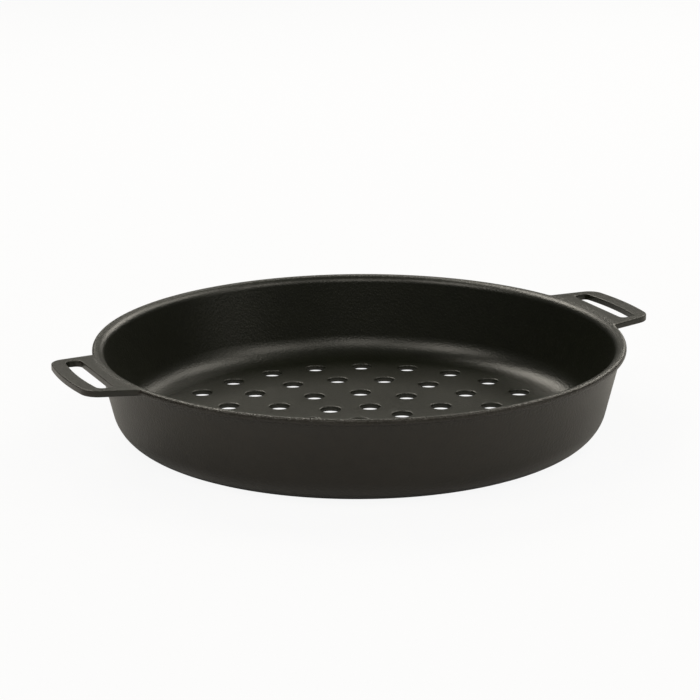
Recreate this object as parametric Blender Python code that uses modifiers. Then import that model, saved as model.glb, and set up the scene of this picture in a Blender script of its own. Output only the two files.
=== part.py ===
# Round oven pan with a perforated floor and two flat loop handles.
# Lengths are metres and +Z is up. The origin is the centre of the base, and the handles lie along X.
# The real pan is one casting. Here its features are separate solids that keep SEAM between them.

import math

import bmesh
import bpy
from mathutils import Matrix

# Bowl
RIM_RADIUS = 0.180
PAN_HEIGHT = 0.0615
WALL_FLARE = math.radians(13.35)
WALL_THICKNESS = 0.0032
FLOOR_THICKNESS = 0.0037
OUTER_CORNER_RADIUS = 0.0225
INNER_CORNER_RADIUS = 0.019

# Rim: a lip that overhangs the wall, a rolled inner edge, and a collar below the lip that meets the wall
LIP_THICKNESS = 0.0044
LIP_OVERHANG = 0.00335
LIP_EDGE_RADIUS = 0.00175
ROLL_RADIUS = 0.0042
COLLAR_BELOW_LIP = 0.0025
COLLAR_FILLET = 0.001

# Perforation: a hole in the middle, then rings, each with its count and its first hole's angle in degrees
HOLE_DIAMETER = 0.014
HOLE_LAND = 0.004
FLOOR_BORDER = 0.0083
RINGS = ((7, 0.3), (12, 4.1), (18, 14.1), (24, 4.1))

# Handles, from the rim's edge outwards: a web, the finger slot and a bar. They rise a little outwards.
HANDLE_WEB = 0.007
SLOT_WIDTH = 0.013
HANDLE_BAR = 0.01
HANDLE_SIDE_BAR = 0.0071
HANDLE_ROOT_WIDTH = 0.0895
HANDLE_TIP_WIDTH = 0.0755
HANDLE_CORNER_RADIUS = 0.012
HANDLE_THICKNESS = 0.0044
HANDLE_RISE = math.radians(2.3)
HANDLE_EDGE_RADIUS = 0.0014
SLOT_CORNER_RADIUS = 0.0036

# Fits
SEAM = 0.0003
CUT_PAST = 0.002
FILLET_SHARE = 0.47

# Fineness. Arcs in plan have an odd count, so that no point falls on +X, where the bowl's turning starts.
TURN_STEPS = 72
HOLE_SIDES = 16
CORNER_STEPS = 7
ROLL_STEPS = 5
LIP_STEPS = 3
FILLET_STEPS = 2
PLAN_CORNER_STEPS = 5
PLAN_ARC_STEPS = 11
EDGE_STEPS = 2
MERGE = 0.00001
SMOOTH_BELOW = math.radians(35)
EDGE_ABOVE = math.radians(45)

COATING_COLOUR = (0.045, 0.043, 0.038, 1.0)
COATING_ROUGHNESS = 0.42


def outer_wall_radius(z):
    """Radius of the straight flared outer face at height z."""
    lip_underside = PAN_HEIGHT - LIP_THICKNESS
    top = RIM_RADIUS - LIP_OVERHANG
    return top - (lip_underside - z) * math.tan(WALL_FLARE)


def inner_wall_radius(z):
    """Radius of the straight flared inner face at height z."""
    return outer_wall_radius(z) - WALL_THICKNESS / math.cos(WALL_FLARE)


def corner_centre(wall_radius, base, radius):
    """Centre of an arc that runs from a flat at height base into a flared face."""
    z = base + radius
    r = wall_radius(z) - radius / math.cos(WALL_FLARE)
    return r, z


def floor_radius():
    """Where the flat floor ends and both corner arcs begin, whichever arc starts nearer the centre."""
    outer = corner_centre(outer_wall_radius, 0.0, OUTER_CORNER_RADIUS)[0]
    inner = corner_centre(inner_wall_radius, FLOOR_THICKNESS, INNER_CORNER_RADIUS)[0]
    return min(outer, inner)


def collar_bottom():
    """Height of the joint between rim and wall."""
    return PAN_HEIGHT - LIP_THICKNESS - COLLAR_BELOW_LIP


def lip_edge_radius():
    """Rounding of the lip's edge, within half of its thickness."""
    return min(LIP_EDGE_RADIUS, FILLET_SHARE * LIP_THICKNESS)


def seat_radius():
    """Radius of the rim's seats for the handles, just inside the rounding of the lip's edge."""
    return RIM_RADIUS - lip_edge_radius() - SEAM


def tip_radius():
    """Radius of the handles' outer edge, which is concentric with the rim."""
    return RIM_RADIUS + HANDLE_WEB + SLOT_WIDTH + HANDLE_BAR


def arc(centre, radius, start, end, steps):
    """Points of an arc from angle start to angle end, in a profile or in plan."""
    points = []
    for i in range(steps + 1):
        angle = start + (end - start) * i / steps
        points.append((centre[0] + radius * math.cos(angle), centre[1] + radius * math.sin(angle)))
    return points


def without_doubles(profile):
    """Drops a point that repeats the one before it, as where a corner arc starts at the floor's edge."""
    kept = []
    for point in profile:
        if not kept or math.dist(point, kept[-1]) > MERGE:
            kept.append(point)
    return kept


def clear_scene():
    for old in list(bpy.data.objects):
        bpy.data.objects.remove(old, do_unlink=True)


def new_collection(name):
    collection = bpy.data.collections.new(name)
    bpy.context.scene.collection.children.link(collection)
    return collection


def coating(name):
    """Dark satin coating over cast metal."""
    material = bpy.data.materials.new(name)
    material.use_nodes = True
    shader = material.node_tree.nodes["Principled BSDF"]
    shader.inputs["Base Color"].default_value = COATING_COLOUR
    shader.inputs["Roughness"].default_value = COATING_ROUGHNESS
    shader.inputs["Metallic"].default_value = 0.0
    material.diffuse_color = COATING_COLOUR
    return material


def add_object(name, mesh, collection, helper=False):
    thing = bpy.data.objects.new(name, mesh)
    collection.objects.link(thing)
    if helper:
        thing.hide_render = True
        thing.display_type = "WIRE"
    else:
        mesh.materials.append(coating(name + "_coating"))
    return thing


def smooth(mesh):
    mesh.shade_smooth()
    mesh.set_sharp_from_angle(angle=SMOOTH_BELOW)


def turned(name, profile, collection):
    """A closed profile of (radius, height) points, down its outer side and up the inner, turned about Z."""
    mesh = bpy.data.meshes.new(name)
    points = [(r, 0.0, z) for r, z in without_doubles(profile)]
    edges = [(i, (i + 1) % len(points)) for i in range(len(points))]
    mesh.from_pydata(points, edges, [])
    thing = add_object(name, mesh, collection)
    screw = thing.modifiers.new("turn", "SCREW")
    screw.axis = "Z"
    screw.steps = TURN_STEPS
    screw.render_steps = TURN_STEPS
    screw.use_merge_vertices = True
    screw.merge_threshold = MERGE
    screw.use_smooth_shade = True
    return thing


def add_disc(shape, radius, sides, thickness, x=0.0, y=0.0):
    """Adds an upright disc to the bmesh shape, level with the middle of the floor."""
    bmesh.ops.create_cone(
        shape,
        cap_ends=True,
        segments=sides,
        radius1=radius,
        radius2=radius,
        depth=thickness,
        matrix=Matrix.Translation((x, y, FLOOR_THICKNESS / 2)),
    )


def plate(name, outlines, bottom, top, collection, helper=False):
    """A flat plate from closed plan outlines, the first its edge and the rest its openings."""
    flat = bpy.data.curves.new(name + "_plan", "CURVE")
    flat.dimensions = "2D"
    flat.fill_mode = "BOTH"
    flat.extrude = (top - bottom) / 2
    for outline in outlines:
        spline = flat.splines.new("POLY")
        spline.points.add(len(outline) - 1)
        for point, (x, y) in zip(spline.points, outline):
            point.co = (x, y, 0.0, 1.0)
        spline.use_cyclic_u = True
    guide = bpy.data.objects.new(name + "_plan", flat)
    guide.location.z = (top + bottom) / 2
    collection.objects.link(guide)
    bpy.context.view_layer.update()
    graph = bpy.context.evaluated_depsgraph_get()
    mesh = bpy.data.meshes.new_from_object(guide.evaluated_get(graph))
    mesh.name = name
    place = guide.matrix_world.copy()
    bpy.data.objects.remove(guide, do_unlink=True)
    shape = bmesh.new()
    shape.from_mesh(mesh)
    bmesh.ops.remove_doubles(shape, verts=shape.verts, dist=MERGE)
    bmesh.ops.recalc_face_normals(shape, faces=shape.faces)
    shape.to_mesh(mesh)
    shape.free()
    thing = add_object(name, mesh, collection, helper)
    thing.matrix_world = place
    return thing


def cut(thing, cutter):
    boolean = thing.modifiers.new("cut_" + cutter.name, "BOOLEAN")
    boolean.operation = "DIFFERENCE"
    boolean.solver = "EXACT"
    boolean.object = cutter


def hole_places():
    """Centre of every hole: one in the middle, then evenly spaced rings out to the floor's plain border."""
    outermost = floor_radius() - FLOOR_BORDER - HOLE_DIAMETER / 2
    fitting = min(len(RINGS), int(outermost / (HOLE_DIAMETER + HOLE_LAND)))
    places = [(0.0, 0.0)]
    for ring in range(fitting):
        count, first = RINGS[ring]
        radius = outermost * (ring + 1) / fitting
        for i in range(count):
            angle = math.radians(first) + math.tau * i / count
            places.append((radius * math.cos(angle), radius * math.sin(angle)))
    return places


def make_floor(collection, cutters):
    mesh = bpy.data.meshes.new("perforated_floor")
    shape = bmesh.new()
    add_disc(shape, floor_radius() - SEAM, TURN_STEPS, FLOOR_THICKNESS)
    shape.to_mesh(mesh)
    shape.free()
    smooth(mesh)
    floor = add_object("perforated_floor", mesh, collection)

    pins = bpy.data.meshes.new("hole_pins")
    shape = bmesh.new()
    for x, y in hole_places():
        add_disc(shape, HOLE_DIAMETER / 2, HOLE_SIDES, FLOOR_THICKNESS + 2 * CUT_PAST, x, y)
    shape.to_mesh(pins)
    shape.free()
    cut(floor, add_object("hole_pins", pins, cutters, helper=True))


def corner_top():
    """Height where both corner arcs have run into the straight flared wall."""
    outer = OUTER_CORNER_RADIUS * (1 - math.sin(WALL_FLARE))
    inner = FLOOR_THICKNESS + INNER_CORNER_RADIUS * (1 - math.sin(WALL_FLARE))
    return max(outer, inner)


def make_corner(collection):
    outer = corner_centre(outer_wall_radius, 0.0, OUTER_CORNER_RADIUS)
    inner = corner_centre(inner_wall_radius, FLOOR_THICKNESS, INNER_CORNER_RADIUS)
    profile = [(outer_wall_radius(corner_top()), corner_top())]
    profile += arc(outer, OUTER_CORNER_RADIUS, -WALL_FLARE, -math.pi / 2, CORNER_STEPS)
    profile.append((floor_radius(), 0.0))
    profile.append((floor_radius(), FLOOR_THICKNESS))
    profile += arc(inner, INNER_CORNER_RADIUS, -math.pi / 2, -WALL_FLARE, CORNER_STEPS)
    profile.append((inner_wall_radius(corner_top()), corner_top()))
    turned("bottom_corner", profile, collection)


def make_wall(collection):
    top = collar_bottom() - SEAM
    bottom = corner_top() + SEAM
    profile = [(outer_wall_radius(top), top), (outer_wall_radius(bottom), bottom)]
    profile += [(inner_wall_radius(bottom), bottom), (inner_wall_radius(top), top)]
    turned("side_wall", profile, collection)


def roll_arc():
    """Rolled inner edge of the rim, from the flared inner face to the flat ring that the handles join."""
    top_width = seat_radius() - inner_wall_radius(PAN_HEIGHT)
    depth = (PAN_HEIGHT - collar_bottom()) / math.cos(WALL_FLARE)
    # An arc in this corner has a radius of so many times the length that it takes from each face.
    radius_per_length = math.tan(math.pi / 4 + WALL_FLARE / 2)
    radius = min(ROLL_RADIUS, 2 * FILLET_SHARE * radius_per_length * min(top_width, depth))
    z = PAN_HEIGHT - radius
    r = inner_wall_radius(z) + radius / math.cos(WALL_FLARE)
    return arc((r, z), radius, math.pi - WALL_FLARE, math.pi / 2, ROLL_STEPS)


def collar_fillet_arc():
    """Small hollow rounding between the lip's underside and the collar."""
    room = min(LIP_OVERHANG - lip_edge_radius(), COLLAR_BELOW_LIP)
    radius = min(COLLAR_FILLET, 2 * FILLET_SHARE * room)
    z = PAN_HEIGHT - LIP_THICKNESS - radius
    return arc((outer_wall_radius(z) + radius, z), radius, math.pi / 2, math.pi, FILLET_STEPS)


def make_rim(collection, cutters):
    underside = PAN_HEIGHT - LIP_THICKNESS
    edge = RIM_RADIUS - lip_edge_radius()
    profile = arc((edge, PAN_HEIGHT - lip_edge_radius()), lip_edge_radius(), math.pi / 2, 0.0, LIP_STEPS)
    profile += arc((edge, underside + lip_edge_radius()), lip_edge_radius(), 0.0, -math.pi / 2, LIP_STEPS)
    profile += collar_fillet_arc()
    profile.append((outer_wall_radius(collar_bottom()), collar_bottom()))
    profile.append((inner_wall_radius(collar_bottom()), collar_bottom()))
    profile += roll_arc()
    rim = turned("rim", profile, collection)
    outline = handle_outline(seat_radius(), SEAM)
    for side, turn in (("right", 0.0), ("left", math.pi)):
        seat = plate("seat_" + side, [outline], underside - CUT_PAST, PAN_HEIGHT + CUT_PAST, cutters, True)
        seat.rotation_euler.z = turn
        cut(rim, seat)


def handle_side(root_radius, grow):
    """The handle's straight side on the +Y half: its root point and its lean towards the tip."""
    root_half = HANDLE_ROOT_WIDTH / 2 + grow
    tip_half = HANDLE_TIP_WIDTH / 2 + grow
    root_x = math.sqrt(root_radius**2 - root_half**2)
    tip_x = math.sqrt(tip_radius() ** 2 - tip_half**2)
    lean = math.atan2(root_half - tip_half, tip_x - root_x)
    return root_x, root_half, lean


def handle_outline(root_radius, grow):
    """Plan of the handle on the +X side, anticlockwise, rooted at root_radius, its sides out by grow."""
    root_x, root_half, lean = handle_side(root_radius, grow)
    corner = HANDLE_CORNER_RADIUS
    # The tip corner's centre lies a corner radius inside both the side and the tip's arc.
    start = (root_x - corner * math.sin(lean), root_half - corner * math.cos(lean))
    along = start[0] * math.cos(lean) - start[1] * math.sin(lean)
    run = -along + math.sqrt(along**2 - start[0] ** 2 - start[1] ** 2 + (tip_radius() - corner) ** 2)
    centre = (start[0] + run * math.cos(lean), start[1] - run * math.sin(lean))
    tip_angle = math.atan2(centre[1], centre[0])
    root_angle = math.asin(root_half / root_radius)
    upper = arc(centre, corner, tip_angle, math.pi / 2 - lean, PLAN_CORNER_STEPS)
    lower = [(x, -y) for x, y in reversed(upper)]
    tip = arc((0.0, 0.0), tip_radius(), -tip_angle, tip_angle, PLAN_ARC_STEPS)[1:-1]
    root = arc((0.0, 0.0), root_radius, root_angle, -root_angle, PLAN_ARC_STEPS)
    return lower + tip + upper + root


def slot_outline(root_radius):
    """Plan of the finger slot on the +X side, clockwise: straight towards the rim, curved with the tip."""
    inner_x = RIM_RADIUS + HANDLE_WEB
    outer_radius = inner_x + SLOT_WIDTH
    # The slot stops a side bar short of the handle's leaning side.
    root_x, root_half, lean = handle_side(root_radius, 0.0)
    middle_x = inner_x + SLOT_WIDTH / 2
    half = root_half - (middle_x - root_x) * math.tan(lean) - HANDLE_SIDE_BAR
    # Two corners share the width of the slot's end.
    end_width = math.sqrt(outer_radius**2 - half**2) - inner_x
    corner = min(SLOT_CORNER_RADIUS, FILLET_SHARE * end_width)
    corner_y = half - corner
    outer_corner = (math.sqrt((outer_radius - corner) ** 2 - corner_y**2), corner_y)
    outer_angle = math.atan2(outer_corner[1], outer_corner[0])
    upper = arc((inner_x + corner, corner_y), corner, math.pi, math.pi / 2, PLAN_CORNER_STEPS)
    upper += arc(outer_corner, corner, math.pi / 2, outer_angle, PLAN_CORNER_STEPS)
    bar_side = arc((0.0, 0.0), outer_radius, outer_angle, -outer_angle, PLAN_ARC_STEPS)[1:-1]
    lower = [(x, -y) for x, y in reversed(upper)]
    return upper + bar_side + lower


def mark_round_edges(mesh, root_radius):
    """Marks the plate's top and bottom edges for the bevel, all but those of the root."""
    shape = bmesh.new()
    shape.from_mesh(mesh)
    weight = shape.edges.layers.float.new("bevel_weight_edge")
    for edge in shape.edges:
        radii = [math.hypot(end.co.x, end.co.y) for end in edge.verts]
        level = abs(edge.verts[0].co.z - edge.verts[1].co.z) < MERGE
        turned_edge = level and edge.calc_face_angle(0.0) > EDGE_ABOVE
        if turned_edge and max(radii) > root_radius + SEAM:
            edge[weight] = 1.0
    shape.to_mesh(mesh)
    shape.free()


def raise_outwards(mesh, root_radius):
    """Tilts the plate up, from nothing at the root."""
    for vertex in mesh.vertices:
        beyond = math.hypot(vertex.co.x, vertex.co.y) - root_radius
        vertex.co.z += beyond * math.tan(HANDLE_RISE)


def make_handle(name, turn, collection):
    root_radius = seat_radius() + SEAM
    outlines = [handle_outline(root_radius, 0.0), slot_outline(root_radius)]
    handle = plate(name, outlines, PAN_HEIGHT - HANDLE_THICKNESS, PAN_HEIGHT, collection)
    mark_round_edges(handle.data, root_radius)
    raise_outwards(handle.data, root_radius)
    bevel = handle.modifiers.new("round_edges", "BEVEL")
    bevel.limit_method = "WEIGHT"
    bevel.width = min(HANDLE_EDGE_RADIUS, FILLET_SHARE * HANDLE_THICKNESS)
    bevel.segments = EDGE_STEPS
    smooth(handle.data)
    handle.rotation_euler.z = turn


def main():
    clear_scene()
    pan = new_collection("perforated_oven_pan")
    cutters = new_collection("cutters")
    make_floor(pan, cutters)
    make_corner(pan)
    make_wall(pan)
    make_rim(pan, cutters)
    make_handle("handle_right", 0.0, pan)
    make_handle("handle_left", math.pi, pan)


main()
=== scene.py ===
import math

import bmesh
import bpy
from mathutils import Matrix, Vector


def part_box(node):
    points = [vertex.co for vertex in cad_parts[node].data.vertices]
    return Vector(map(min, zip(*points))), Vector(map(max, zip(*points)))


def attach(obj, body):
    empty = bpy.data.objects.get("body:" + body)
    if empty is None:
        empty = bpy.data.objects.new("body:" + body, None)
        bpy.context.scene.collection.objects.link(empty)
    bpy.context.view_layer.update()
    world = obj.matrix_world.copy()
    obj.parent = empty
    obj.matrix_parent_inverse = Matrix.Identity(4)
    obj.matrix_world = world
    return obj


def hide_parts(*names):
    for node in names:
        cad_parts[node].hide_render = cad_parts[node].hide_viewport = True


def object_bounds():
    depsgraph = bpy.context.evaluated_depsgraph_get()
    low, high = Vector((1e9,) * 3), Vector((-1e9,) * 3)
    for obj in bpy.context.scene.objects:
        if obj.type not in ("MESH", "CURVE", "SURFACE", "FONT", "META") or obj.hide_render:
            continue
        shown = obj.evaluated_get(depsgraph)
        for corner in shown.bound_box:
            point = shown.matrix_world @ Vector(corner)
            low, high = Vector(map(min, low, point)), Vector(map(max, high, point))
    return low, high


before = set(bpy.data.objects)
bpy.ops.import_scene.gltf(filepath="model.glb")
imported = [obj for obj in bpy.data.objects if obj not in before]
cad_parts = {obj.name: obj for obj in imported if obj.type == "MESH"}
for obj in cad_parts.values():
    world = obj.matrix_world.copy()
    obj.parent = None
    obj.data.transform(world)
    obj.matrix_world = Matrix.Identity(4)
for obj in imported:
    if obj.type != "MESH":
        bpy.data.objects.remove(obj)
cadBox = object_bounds()
print("frame loaded:", len(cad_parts), "solids")

mm = 0.001                        # sizes are written in millimetres and kept in metres
solidGap = 0.3 * mm               # what the solids keep between them
weldDistance = 0.004 * mm
sharpAbove = math.radians(60)     # an edge that turns more than this stays crisp
nodeSpacing = 190
rimRadius = cadBox[1][1]
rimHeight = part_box("rim")[1][2]
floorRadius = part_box("perforated_floor")[1][0] + solidGap


def addNode(tree, kind, inputs={}, **settings):
    # inputs go from a socket's name or number to a value, to an output, or to a node for its first output
    node = tree.nodes.new(kind)
    node.location.x = nodeSpacing * len(tree.nodes)
    for name, value in settings.items():
        setattr(node, name, value)
    for socket, value in inputs.items():
        if isinstance(value, bpy.types.Node):
            value = value.outputs[0]
        if isinstance(value, bpy.types.NodeSocket):
            tree.links.new(value, node.inputs[socket])
        else:
            node.inputs[socket].default_value = value
    return node


def srgb(hexColour):
    # "#rrggbb" as the linear values that Blender works in
    values = [int(hexColour[i:i + 2], 16) / 255 for i in (1, 3, 5)]
    linear = [v / 12.92 if v <= 0.04045 else ((v + 0.055) / 1.055) ** 2.4 for v in values]
    return (*linear, 1.0)


# Coating, the one finish on every piece

coatingLook = {
    "inside": "#14160e",
    "outsideWithPaintedReflection": "#18140c",       # a little browner: a painted reflection of the warm surroundings that the outer wall mirrors, over the coating's own colour
    "insideUpTo": 0.2,          # a face that turns outwards by no more than this share has the inside colour
    "outsideFrom": 0.8,         # and one that turns by at least this share has the outside colour
    "paler": 1.3,               # how far the coating varies in brightness
    "paleFrom": 0.3,            # share of the ripple's height from which it grows paler
    "paleUpTo": 0.7,
    "roughness": 0.34,
    "ior": 1.52,
    "grain": 1.6,               # mm between the spray's specks, drawn coarser than they are so that they show
    "grainRoughness": 0.6,
    "grainDepth": 0.22,         # mm
    "lipGrainDepth": 0.75,      # mm, where the spray lies thick round the lip
    "lipInside": 1.5,           # mm from the rim's edge to the middle of that ring
    "lipSpread": 3.5,           # mm from there to where the grain is as fine as elsewhere
    "ripple": 9.0,              # mm, the soft unevenness of the casting below
    "rippleRoughness": 0.5,
    "rippleDepth": 0.02,        # mm
    "noiseDetail": 2.0,
}


def makeCoating(look):
    # PTFE-type non-stick coating sprayed on blasted cast aluminium: nearly black and slightly warm, satin,
    # with a fine grain that breaks highlights up into specks
    material = bpy.data.materials.new("Satin non-stick coating on cast aluminium")
    material.use_nodes = True
    tree = material.node_tree
    tree.nodes.clear()
    coordinates = addNode(tree, "ShaderNodeTexCoord").outputs
    place = coordinates["Object"]
    grain = addNode(tree, "ShaderNodeTexNoise", {
        "Vector": place, "Scale": 1 / (look["grain"] * mm),
        "Detail": look["noiseDetail"], "Roughness": look["grainRoughness"]})
    ripple = addNode(tree, "ShaderNodeTexNoise", {
        "Vector": place, "Scale": 1 / (look["ripple"] * mm),
        "Detail": look["noiseDetail"], "Roughness": look["rippleRoughness"]})

    # outside and inside by where a face points, seen from the pan's middle; the outward faces get a painted
    # warm reflection in their colour
    level = addNode(tree, "ShaderNodeVectorMath", {0: place, 1: (1, 1, 0)}, operation="MULTIPLY")
    outwards = addNode(tree, "ShaderNodeVectorMath", {0: level}, operation="NORMALIZE")
    facing = addNode(tree, "ShaderNodeVectorMath", {
        0: outwards, 1: coordinates["Normal"]}, operation="DOT_PRODUCT")
    # mask for the painted reflection: faces turned outwards take the warmer colour
    side = addNode(tree, "ShaderNodeMapRange", {
        "Value": facing.outputs["Value"], "From Min": look["insideUpTo"], "From Max": look["outsideFrom"]},
        interpolation_type="SMOOTHSTEP")
    # sockets 6 and 7 of a Mix node are its two colours
    base = addNode(tree, "ShaderNodeMix", {
        "Factor": side, 6: srgb(look["inside"]), 7: srgb(look["outsideWithPaintedReflection"])}, data_type="RGBA")
    shade = addNode(tree, "ShaderNodeMapRange", {
        "Value": ripple.outputs["Fac"], "From Min": look["paleFrom"], "From Max": look["paleUpTo"],
        "To Min": 1.0, "To Max": look["paler"]})
    colour = addNode(tree, "ShaderNodeVectorMath", {0: base.outputs[2], "Scale": shade}, operation="SCALE")

    # casting ripple, and over it a grain that is coarser in a ring round the lip
    swell = addNode(tree, "ShaderNodeBump", {
        "Height": ripple.outputs["Fac"], "Distance": look["rippleDepth"] * mm, "Strength": 1.0})
    radius = addNode(tree, "ShaderNodeVectorMath", {0: level}, operation="LENGTH")
    fromLip = addNode(tree, "ShaderNodeMath", {
        0: radius.outputs["Value"], 1: rimRadius - look["lipInside"] * mm}, operation="SUBTRACT")
    away = addNode(tree, "ShaderNodeMath", {0: fromLip}, operation="ABSOLUTE")
    coarse = addNode(tree, "ShaderNodeMapRange", {
        "Value": away, "From Min": look["lipInside"] * mm, "From Max": look["lipSpread"] * mm,
        "To Min": 1.0, "To Max": look["grainDepth"] / look["lipGrainDepth"]}, interpolation_type="SMOOTHSTEP")
    specks = addNode(tree, "ShaderNodeBump", {
        "Height": grain.outputs["Fac"], "Distance": look["lipGrainDepth"] * mm, "Strength": coarse,
        "Normal": swell})
    shader = addNode(tree, "ShaderNodeBsdfPrincipled", {
        "Base Color": colour, "Roughness": look["roughness"], "IOR": look["ior"], "Normal": specks})
    addNode(tree, "ShaderNodeOutputMaterial", {"Surface": shader})
    return material


coating = makeCoating(coatingLook)
print("coating made")


# Geometry trees, and what every piece is finished with

def newTree(name, sizes):
    # a geometry tree with one named input for each size, and one for the material
    tree = bpy.data.node_groups.new(name, "GeometryNodeTree")
    for label, value in sizes.items():
        kind = "NodeSocketInt" if isinstance(value, int) else "NodeSocketFloat"
        tree.interface.new_socket(label, in_out="INPUT", socket_type=kind)
    tree.interface.new_socket("Finish", in_out="INPUT", socket_type="NodeSocketMaterial")
    tree.interface.new_socket("Geometry", in_out="OUTPUT", socket_type="NodeSocketGeometry")
    return tree, addNode(tree, "NodeGroupInput").outputs


def roundedLine(tree, corners, steps, closed):
    # a line through corners given as distance out, height and rounding, to be swept along a circle, where a
    # profile's Y axis points down
    which = addNode(tree, "GeometryNodeInputIndex")
    places = addNode(tree, "GeometryNodeIndexSwitch", {"Index": which}, data_type="VECTOR")
    roundings = addNode(tree, "GeometryNodeIndexSwitch", {"Index": which}, data_type="FLOAT")
    for switch in (places, roundings):
        while len(switch.index_switch_items) < len(corners):
            switch.index_switch_items.new()
    for number, (out, height, rounding) in enumerate(corners, 1):
        down = addNode(tree, "ShaderNodeMath", {0: height, 1: -1.0}, operation="MULTIPLY")
        place = addNode(tree, "ShaderNodeCombineXYZ", {"X": out, "Y": down})
        tree.links.new(place.outputs[0], places.inputs[number])
        if rounding:
            tree.links.new(rounding, roundings.inputs[number])
    points = addNode(tree, "GeometryNodePoints", {"Count": len(corners), "Position": places})
    line = addNode(tree, "GeometryNodePointsToCurves", {"Points": points})
    loop = addNode(tree, "GeometryNodeSetSplineCyclic", {"Geometry": line, "Cyclic": closed})
    return addNode(tree, "GeometryNodeFilletCurve", {
        "Curve": loop, "Count": steps, "Radius": roundings}, mode="POLY")


def endTree(tree, given, geometry):
    real = addNode(tree, "GeometryNodeRealizeInstances", {"Geometry": geometry})
    welded = addNode(tree, "GeometryNodeMergeByDistance", {"Geometry": real, "Distance": weldDistance})
    dressed = addNode(tree, "GeometryNodeSetMaterial", {"Geometry": welded, "Material": given["Finish"]})
    addNode(tree, "NodeGroupOutput", {0: dressed})


def meshFromTree(name, tree, sizes):
    thing = bpy.data.objects.new(name, bpy.data.meshes.new(name + "_start"))
    bpy.context.scene.collection.objects.link(thing)
    maker = thing.modifiers.new("make", "NODES")
    maker.node_group = tree
    for item in tree.interface.items_tree:
        if item.in_out == "INPUT":
            maker[item.identifier] = coating if item.name == "Finish" else sizes[item.name]
    graph = bpy.context.evaluated_depsgraph_get()
    mesh = bpy.data.meshes.new_from_object(thing.evaluated_get(graph))
    bpy.data.objects.remove(thing, do_unlink=True)
    # a filled curve brings an empty material slot, so the slots are made anew
    mesh.materials.clear()
    mesh.materials.append(coating)
    mesh.polygons.foreach_set("material_index", [0] * len(mesh.polygons))
    return mesh


def finishPiece(name, mesh, *replaced):
    # outward faces, crisp only at the joints between the pieces, flat stretches kept flat in the shading
    shape = bmesh.new()
    shape.from_mesh(mesh)
    bmesh.ops.recalc_face_normals(shape, faces=shape.faces)
    shape.to_mesh(mesh)
    shape.free()
    mesh.name = name
    mesh.shade_smooth()
    mesh.set_sharp_from_angle(angle=sharpAbove)
    piece = bpy.data.objects.new(name, mesh)
    bpy.context.scene.collection.objects.link(piece)
    even = piece.modifiers.new("even_shading", "WEIGHTED_NORMAL")
    even.mode = "FACE_AREA"
    even.keep_sharp = True
    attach(piece, "root")
    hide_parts(*replaced)
    print(name, "made:", len(mesh.polygons), "faces")


# Bowl: floor edge, rounded corner, flared wall and rolled rim in one turned skin

bowlSizes = {
    "Rim Radius": rimRadius,
    "Height": rimHeight,
    "Flare": math.radians(13.35),
    "Wall Thickness": 3.2 * mm,
    "Floor Thickness": 3.7 * mm,
    "Floor Radius": floorRadius,
    "Outer Corner": 22.5 * mm,
    "Inner Corner": 19.0 * mm,
    "Lip Thickness": 4.4 * mm,
    "Lip Overhang": 3.35 * mm,       # how far the lip stands out from the wall
    "Lip Root": 1.95 * mm,           # how far in from the rim's edge the lip piece is joined on
    "Rim Thickening": 1.5 * mm,      # what the wall gains inside on its way up to the rim
    "Roll Radius": 6.2 * mm,
    "Collar Fillet": 1.0 * mm,
    "Turn Steps": 288,
    "Corner Steps": 14,
}


def makeBowlTree(sizes):
    tree, given = newTree("Turned bowl", sizes)
    lean = addNode(tree, "ShaderNodeMath", {0: given["Flare"]}, operation="TANGENT")
    upright = addNode(tree, "ShaderNodeMath", {0: given["Flare"]}, operation="COSINE")
    across = addNode(tree, "ShaderNodeMath", {0: given["Wall Thickness"], 1: upright}, operation="DIVIDE")
    wallTop = addNode(tree, "ShaderNodeMath", {
        0: given["Rim Radius"], 1: given["Lip Overhang"]}, operation="SUBTRACT")
    underside = addNode(tree, "ShaderNodeMath", {
        0: given["Height"], 1: given["Lip Thickness"]}, operation="SUBTRACT")
    lipRoot = addNode(tree, "ShaderNodeMath", {
        0: given["Rim Radius"], 1: given["Lip Root"]}, operation="SUBTRACT")

    def outsideWithPaintedReflection(height):
        above = addNode(tree, "ShaderNodeMath", {0: height, 1: underside}, operation="SUBTRACT")
        return addNode(tree, "ShaderNodeMath", {0: above, 1: lean, 2: wallTop}, operation="MULTIPLY_ADD")

    def inside(height):
        return addNode(tree, "ShaderNodeMath", {0: outsideWithPaintedReflection(height), 1: across}, operation="SUBTRACT")

    mouth = addNode(tree, "ShaderNodeMath", {
        0: inside(given["Height"]), 1: given["Rim Thickening"]}, operation="SUBTRACT")
    # corners of the section as radius, height and rounding, up the outer side and down the inner
    section = [
        (given["Floor Radius"], 0.0, None),
        (outsideWithPaintedReflection(0.0), 0.0, given["Outer Corner"]),
        (wallTop, underside, given["Collar Fillet"]),
        (lipRoot, underside, None),
        (lipRoot, given["Height"], None),
        (mouth, given["Height"], given["Roll Radius"]),
        (inside(given["Floor Thickness"]), given["Floor Thickness"], given["Inner Corner"]),
        (given["Floor Radius"], given["Floor Thickness"], None),
    ]
    corners = []
    for radius, height, rounding in section:
        out = addNode(tree, "ShaderNodeMath", {0: radius, 1: given["Floor Radius"]}, operation="SUBTRACT")
        corners.append((out, height, rounding))
    circle = addNode(tree, "GeometryNodeCurvePrimitiveCircle", {
        "Resolution": given["Turn Steps"], "Radius": given["Floor Radius"]}, mode="RADIUS")
    skin = addNode(tree, "GeometryNodeCurveToMesh", {
        "Curve": circle, "Profile Curve": roundedLine(tree, corners, given["Corner Steps"], True)})
    endTree(tree, given, skin)
    return tree


# Perforated floor: a middle hole and rings of holes at even distances

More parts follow.
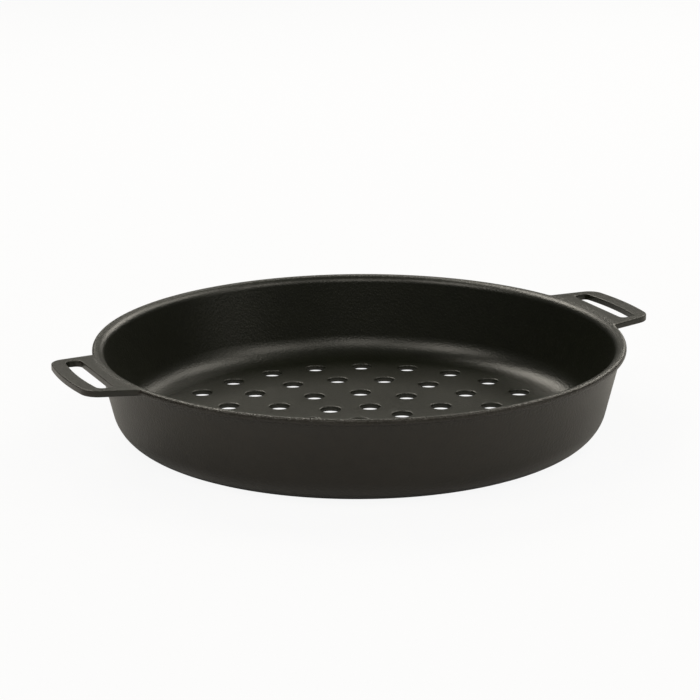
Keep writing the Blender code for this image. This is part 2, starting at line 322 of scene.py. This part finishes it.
floorSizes = {
    "Floor Radius": floorRadius,
    "Thickness": bowlSizes["Floor Thickness"],
    "Plain Border": 8.3 * mm,                      # between the outermost holes and the floor's edge
    "Hole Diameter": 14.0 * mm,
    "Upper Rounding": 1.0 * mm,
    "Lower Rounding": 0.4 * mm,
    "Ring 1 Holes": 7,
    "Ring 1 First Angle": math.radians(0.3),       # from the right handle round to the ring's first hole
    "Ring 2 Holes": 12,
    "Ring 2 First Angle": math.radians(4.1),
    "Ring 3 Holes": 18,
    "Ring 3 First Angle": math.radians(14.1),
    "Ring 4 Holes": 24,
    "Ring 4 First Angle": math.radians(4.1),
    "Hole Sides": 36,
    "Rounding Steps": 2,
    "Border Steps": bowlSizes["Turn Steps"],
}


def makeFloorTree(sizes):
    tree, given = newTree("Perforated floor", sizes)
    holeRadius = addNode(tree, "ShaderNodeMath", {0: given["Hole Diameter"], 1: 0.5}, operation="MULTIPLY")
    holesReach = addNode(tree, "ShaderNodeMath", {
        0: given["Floor Radius"], 1: given["Plain Border"]}, operation="SUBTRACT")
    outermost = addNode(tree, "ShaderNodeMath", {0: holesReach, 1: holeRadius}, operation="SUBTRACT")
    places = addNode(tree, "GeometryNodeJoinGeometry")
    middle = addNode(tree, "GeometryNodePoints", {"Count": 1})
    tree.links.new(middle.outputs[0], places.inputs[0])
    holeCounts = [label for label in sizes if label.endswith("Holes")]
    for number, label in enumerate(holeCounts, 1):
        radius = addNode(tree, "ShaderNodeMath", {
            0: outermost, 1: number / len(holeCounts)}, operation="MULTIPLY")
        ring = addNode(tree, "GeometryNodeMeshCircle", {"Vertices": given[label], "Radius": radius})
        spin = addNode(tree, "ShaderNodeCombineXYZ", {"Z": given[label.replace("Holes", "First Angle")]})
        turned = addNode(tree, "GeometryNodeTransform", {"Geometry": ring, "Rotation": spin})
        dots = addNode(tree, "GeometryNodeMeshToPoints", {"Mesh": turned})
        tree.links.new(dots.outputs[0], places.inputs[0])

    border = addNode(tree, "GeometryNodeCurvePrimitiveCircle", {
        "Resolution": given["Border Steps"], "Radius": given["Floor Radius"]}, mode="RADIUS")

    def flatFace(rounding, height):
        # the face at that height, open where the holes' rounded edges begin
        radius = addNode(tree, "ShaderNodeMath", {0: holeRadius, 1: rounding}, operation="ADD")
        edge = addNode(tree, "GeometryNodeCurvePrimitiveCircle", {
            "Resolution": given["Hole Sides"], "Radius": radius}, mode="RADIUS")
        edges = addNode(tree, "GeometryNodeInstanceOnPoints", {"Points": places, "Instance": edge})
        loops = addNode(tree, "GeometryNodeJoinGeometry")
        for outline in (border, edges):
            tree.links.new(outline.outputs[0], loops.inputs[0])
        real = addNode(tree, "GeometryNodeRealizeInstances", {"Geometry": loops})
        filled = addNode(tree, "GeometryNodeFillCurve", {"Curve": real}, mode="TRIANGLES")
        lift = addNode(tree, "ShaderNodeCombineXYZ", {"Z": height})
        return addNode(tree, "GeometryNodeTransform", {"Geometry": filled, "Translation": lift})

    # a hole's lining: over the upper edge, down the bore and over the lower edge
    corners = [
        (given["Upper Rounding"], given["Thickness"], None),
        (0.0, given["Thickness"], given["Upper Rounding"]),
        (0.0, 0.0, given["Lower Rounding"]),
        (given["Lower Rounding"], 0.0, None),
    ]
    bore = addNode(tree, "GeometryNodeCurvePrimitiveCircle", {
        "Resolution": given["Hole Sides"], "Radius": holeRadius}, mode="RADIUS")
    lining = addNode(tree, "GeometryNodeCurveToMesh", {
        "Curve": bore, "Profile Curve": roundedLine(tree, corners, given["Rounding Steps"], False)})
    linings = addNode(tree, "GeometryNodeInstanceOnPoints", {"Points": places, "Instance": lining})

    deep = addNode(tree, "ShaderNodeMath", {0: given["Thickness"], 1: -1.0}, operation="MULTIPLY")
    top = addNode(tree, "ShaderNodeCombineXYZ", {"Y": deep})
    upright = addNode(tree, "GeometryNodeCurvePrimitiveLine", {"End": top}, mode="POINTS")
    side = addNode(tree, "GeometryNodeCurveToMesh", {"Curve": border, "Profile Curve": upright})

    whole = addNode(tree, "GeometryNodeJoinGeometry")
    upper = flatFace(given["Upper Rounding"], given["Thickness"])
    lower = flatFace(given["Lower Rounding"], 0.0)
    for part in (upper, lower, linings, side):
        tree.links.new(part.outputs[0], whole.inputs[0])
    endTree(tree, given, whole)
    return tree


# Lip with both handles: one flat plate with rounded edges

lipSizes = {
    "rimRadius": rimRadius,
    "innerRadius": rimRadius - bowlSizes["Lip Root"],
    "top": rimHeight,
    "thickness": bowlSizes["Lip Thickness"],
    "lipRounding": 1.9 * mm,
    "handleRounding": 0.7 * mm,
    "web": 7.0 * mm,              # between the rim's edge and the finger slot
    "slotWidth": 13.0 * mm,
    "bar": 10.0 * mm,             # beyond the slot
    "sideBar": 7.1 * mm,          # beside each end of the slot
    "rootWidth": 89.5 * mm,       # between the handle's sides, on a circle that lies inside the rim's edge
    "rootInside": 1.75 * mm,      # by this much
    "tipWidth": 75.5 * mm,
    "tipCorner": 12.0 * mm,
    "slotCorner": 3.6 * mm,
    "rootFillet": 3.0 * mm,
    "rise": math.radians(2.4),    # the handles' tilt, from the rim's edge outwards
    "edgeSteps": 5,
    "cornerSteps": 12,
    "tipSteps": 32,
    "lipSteps": 256,
    "turnSteps": bowlSizes["Turn Steps"],
}


def arcPoints(centre, radius, start, end, steps):
    angles = [start + (end - start) * i / steps for i in range(steps + 1)]
    return [Vector((centre[0] + radius * math.cos(a), centre[1] + radius * math.sin(a))) for a in angles]


def tipRadius(s):
    return s["rimRadius"] + s["web"] + s["slotWidth"] + s["bar"]


def handleSide(s):
    # root point and lean of the straight side on the +Y half
    rootRadius = s["rimRadius"] - s["rootInside"]
    rootHalf, tipHalf = s["rootWidth"] / 2, s["tipWidth"] / 2
    rootX = math.sqrt(rootRadius ** 2 - rootHalf ** 2)
    tipX = math.sqrt(tipRadius(s) ** 2 - tipHalf ** 2)
    return Vector((rootX, rootHalf)), math.atan2(rootHalf - tipHalf, tipX - rootX)


def alongUntil(start, direction, radius):
    # the point at that radius on a line from start
    near = start.dot(direction)
    return start + direction * (-near + math.sqrt(near ** 2 - start.length_squared + radius ** 2))


def handleHalf(s):
    # the +Y half of the right handle's edge, from the middle of its tip to the lip
    root, lean = handleSide(s)
    direction = Vector((math.cos(lean), -math.sin(lean)))
    outward = Vector((math.sin(lean), math.cos(lean)))
    corner, fillet = s["tipCorner"], s["rootFillet"]
    tipCentre = alongUntil(root - outward * corner, direction, tipRadius(s) - corner)
    filletCentre = alongUntil(root + outward * fillet, direction, s["rimRadius"] + fillet)
    tipAngle = math.atan2(tipCentre.y, tipCentre.x)
    lipAngle = math.atan2(filletCentre.y, filletCentre.x)
    edge = arcPoints((0, 0), tipRadius(s), 0.0, tipAngle, s["tipSteps"] // 2)
    edge += arcPoints(tipCentre, corner, tipAngle, math.pi / 2 - lean, s["cornerSteps"])[1:]
    edge += arcPoints(filletCentre, fillet, -math.pi / 2 - lean, lipAngle - math.pi, s["cornerSteps"])
    return edge, lipAngle


def rimOutline(s):
    # the whole outer edge, anticlockwise, starting at the root of the right handle
    half, lipAngle = handleHalf(s)
    mirrored = [Vector((x, -y)) for x, y in reversed(half)][:-1]
    lip = arcPoints((0, 0), s["rimRadius"], lipAngle, math.pi - lipAngle, s["lipSteps"] // 2)[1:-1]
    side = mirrored + half + lip
    return side + [-point for point in side]


def slotOutline(s):
    # the finger slot of the right handle, clockwise, straight towards the rim and curved with the tip
    root, lean = handleSide(s)
    innerX = s["rimRadius"] + s["web"]
    outerRadius = innerX + s["slotWidth"]
    middleX = innerX + s["slotWidth"] / 2
    half = root.y - (middleX - root.x) * math.tan(lean) - s["sideBar"]
    corner = s["slotCorner"]
    low = half - corner
    far = Vector((math.sqrt((outerRadius - corner) ** 2 - low ** 2), low))
    farAngle = math.atan2(far.y, far.x)
    upper = arcPoints((innerX + corner, low), corner, math.pi, math.pi / 2, s["cornerSteps"])
    upper += arcPoints(far, corner, math.pi / 2, farAngle, s["cornerSteps"])
    bar = arcPoints((0, 0), outerRadius, farAngle, -farAngle, s["tipSteps"])[1:-1]
    return upper + bar + [Vector((x, -y)) for x, y in reversed(upper)]


def edgeRounding(s, point):
    # full on the lip, small on the handles, with a change along the fillet between them
    share = min(1.0, max(0.0, (point.length - s["rimRadius"]) / s["rootFillet"]))
    return s["lipRounding"] + (s["handleRounding"] - s["lipRounding"]) * share


def setBack(outline, distances):
    # the outline moved into the metal, which lies on its left
    moved = []
    for i, point in enumerate(outline):
        before = (point - outline[i - 1]).normalized()
        after = (outline[(i + 1) % len(outline)] - point).normalized()
        across = (before + after).normalized()
        left = Vector((-across.y, across.x))
        moved.append(point + left * distances[i] / across.dot(after))
    return moved


def makeLip(s):
    shape = bmesh.new()
    bottom = s["top"] - s["thickness"]
    # the edge turns from the upper flat face to upright, and on to the lower flat face
    turns = [math.pi / 2 * i / s["edgeSteps"] for i in range(s["edgeSteps"] + 1)]
    slot = slotOutline(s)
    circle = arcPoints((0, 0), s["innerRadius"], math.tau, 0.0, s["turnSteps"])[:-1]
    faceEdges = {s["top"]: [], bottom: []}

    def ring(outline, heights):
        return [shape.verts.new((point.x, point.y, height)) for point, height in zip(outline, heights)]

    def join(loops):
        for upper, lower in zip(loops, loops[1:]):
            for i in range(len(upper)):
                shape.faces.new((upper[i - 1], upper[i], lower[i], lower[i - 1]))
        for loop, height in ((loops[0], s["top"]), (loops[-1], bottom)):
            faceEdges[height] += [shape.edges.get((loop[i - 1], loop[i])) for i in range(len(loop))]

    def roundedEdge(outline):
        rounding = [edgeRounding(s, point) for point in outline]
        loops = []
        for turn in turns:
            back = setBack(outline, [r * (1 - math.sin(turn)) for r in rounding])
            drop = [r * (1 - math.cos(turn)) for r in rounding]
            loops.append((ring(back, [s["top"] - d for d in drop]), ring(back, [bottom + d for d in drop])))
        join([upper for upper, lower in loops] + [lower for upper, lower in reversed(loops)])

    for outline in (rimOutline(s), slot, [-point for point in slot]):
        roundedEdge(outline)
    join([ring(circle, [s["top"]] * len(circle)), ring(circle, [bottom] * len(circle))])
    for edges in faceEdges.values():
        bmesh.ops.triangle_fill(shape, edges=edges, use_beauty=True)
    for corner in shape.verts:
        corner.co.z += max(0.0, corner.co.xy.length - s["rimRadius"]) * math.tan(s["rise"])
    mesh = bpy.data.meshes.new("lip_and_handles")
    shape.to_mesh(mesh)
    shape.free()
    mesh.materials.append(coating)
    return mesh


bowl = meshFromTree("bowl", makeBowlTree(bowlSizes), bowlSizes)
finishPiece("turned_bowl", bowl, "bottom_corner", "side_wall", "rim")
holeFloor = meshFromTree("floor", makeFloorTree(floorSizes), floorSizes)
finishPiece("hole_floor", holeFloor, "perforated_floor")
finishPiece("lip_and_handles", makeLip(lipSizes), "handle_right", "handle_left")


# Studio floor, light and camera

studio = {
    "floorSize": 12.0,
    "floorColour": "#dadada",
    "floorGap": 0.2 * mm,     # keeps the paper clear of the pan's flat underside
    "white": "#ffffff",
    "whiteSeen": 0.92,        # share of plain white in the floor that the camera sees, the rest is lit paper
    "whiteInGloss": 0.05,     # the same share in what the coating mirrors
    "worldStrength": 0.02,    # a dim room beyond the lamps
    "lampColour": "#fff9ec",
    "lampDistance": 2.5,
}
# degrees round the pan from its right handle, degrees up, width and height in metres, watts
softBoxes = {
    "back left": (95, 45, 1.0, 1.0, 25),
    "back": (65, 43, 1.0, 1.1, 5),
    "low back": (65, 18, 2.4, 0.3, 0.9),
    "back right": (36, 26, 1.0, 1.0, 13),
    "right": (5, 46, 1.0, 1.0, 13),
    "front right": (-55, 47, 1.0, 1.1, 12),
    "low front": (-48, 20, 1.0, 0.8, 2.5),
    "front": (-115, 47, 1.0, 1.2, 12),
    "left": (185, 50, 1.0, 1.0, 16),
}
# the photograph's viewpoint in metres from the pan, and the directions of its view
camera = {
    "at": (-0.64821, -1.37510, 0.49284),
    "towards": (0.40606, 0.87068, -0.27753),
    "right": (0.90557, -0.42416, -0.00572),
    "lens": 120.04,
    "sensor": 36.0,
    "nearest": 0.05,
    "farthest": 50.0,
}


def makePaper(s):
    material = bpy.data.materials.new("Matt white paper")
    material.use_nodes = True
    tree = material.node_tree
    tree.nodes.clear()
    rays = addNode(tree, "ShaderNodeLightPath").outputs
    mirrored = addNode(tree, "ShaderNodeMath", {
        0: rays["Is Glossy Ray"], 1: rays["Is Transmission Ray"]}, operation="MAXIMUM")
    seen = addNode(tree, "ShaderNodeMath", {
        0: rays["Is Camera Ray"], 1: s["whiteSeen"]}, operation="MULTIPLY")
    share = addNode(tree, "ShaderNodeMath", {
        0: mirrored, 1: s["whiteInGloss"], 2: seen}, operation="MULTIPLY_ADD")
    paper = addNode(tree, "ShaderNodeBsdfDiffuse", {"Color": srgb(s["floorColour"])})
    white = addNode(tree, "ShaderNodeEmission", {"Color": srgb(s["white"]), "Strength": 1.0})
    both = addNode(tree, "ShaderNodeMixShader", {0: share, 1: paper, 2: white})
    addNode(tree, "ShaderNodeOutputMaterial", {"Surface": both})
    return material


def makeStudioFloor(s):
    mesh = bpy.data.meshes.new("studio_floor")
    half = s["floorSize"] / 2
    corners = [(-half, -half, 0), (half, -half, 0), (half, half, 0), (-half, half, 0)]
    mesh.from_pydata(corners, [], [(0, 1, 2, 3)])
    mesh.materials.append(makePaper(s))
    floor = bpy.data.objects.new("studio_floor", mesh)
    bpy.context.scene.collection.objects.link(floor)
    floor.location.z = -s["floorGap"]


def makeCamera(c):
    data = bpy.data.cameras.new("view")
    data.lens = c["lens"]
    data.sensor_width = c["sensor"]
    data.clip_start = c["nearest"]
    data.clip_end = c["farthest"]
    thing = bpy.data.objects.new("view", data)
    bpy.context.scene.collection.objects.link(thing)
    forward, right = Vector(c["towards"]).normalized(), Vector(c["right"]).normalized()
    up = right.cross(forward).normalized()
    right = forward.cross(up)
    turn = Matrix((right, up, -forward)).transposed().to_4x4()
    thing.matrix_world = Matrix.Translation(c["at"]) @ turn
    bpy.context.scene.camera = thing


def makeWorld(s):
    # plain white where the camera looks past the floor, a little of it in what is mirrored, else a dim room
    world = bpy.data.worlds.new("studio")
    bpy.context.scene.world = world
    world.use_nodes = True
    tree = world.node_tree
    rays = addNode(tree, "ShaderNodeLightPath").outputs
    mirrored = addNode(tree, "ShaderNodeMath", {
        0: rays["Is Glossy Ray"], 1: rays["Is Transmission Ray"]}, operation="MAXIMUM")
    share = addNode(tree, "ShaderNodeMath", {
        0: mirrored, 1: s["whiteInGloss"], 2: rays["Is Camera Ray"]}, operation="MULTIPLY_ADD")
    strength = addNode(tree, "ShaderNodeMath", {0: share, 1: s["worldStrength"]}, operation="MAXIMUM")
    background = tree.nodes["Background"]
    background.inputs["Color"].default_value = srgb(s["white"])
    tree.links.new(strength.outputs[0], background.inputs["Strength"])


def makeSoftBox(s, name, turn, lift, width, height, watts):
    data = bpy.data.lights.new(name, "AREA")
    data.shape = "RECTANGLE"
    data.size, data.size_y = width, height
    data.energy = watts
    data.color = srgb(s["lampColour"])[:3]
    box = bpy.data.objects.new(name, data)
    bpy.context.scene.collection.objects.link(box)
    turn, lift = math.radians(turn), math.radians(lift)
    away = Vector((math.cos(turn) * math.cos(lift), math.sin(turn) * math.cos(lift), math.sin(lift)))
    box.location = away * s["lampDistance"]
    box.rotation_euler = away.to_track_quat("Z", "Y").to_euler()
    box.visible_camera = False


makeStudioFloor(studio)
makeCamera(camera)
makeWorld(studio)
for name, setting in softBoxes.items():
    makeSoftBox(studio, name, *setting)
bpy.context.scene.view_settings.view_transform = "Standard"
print("studio made")
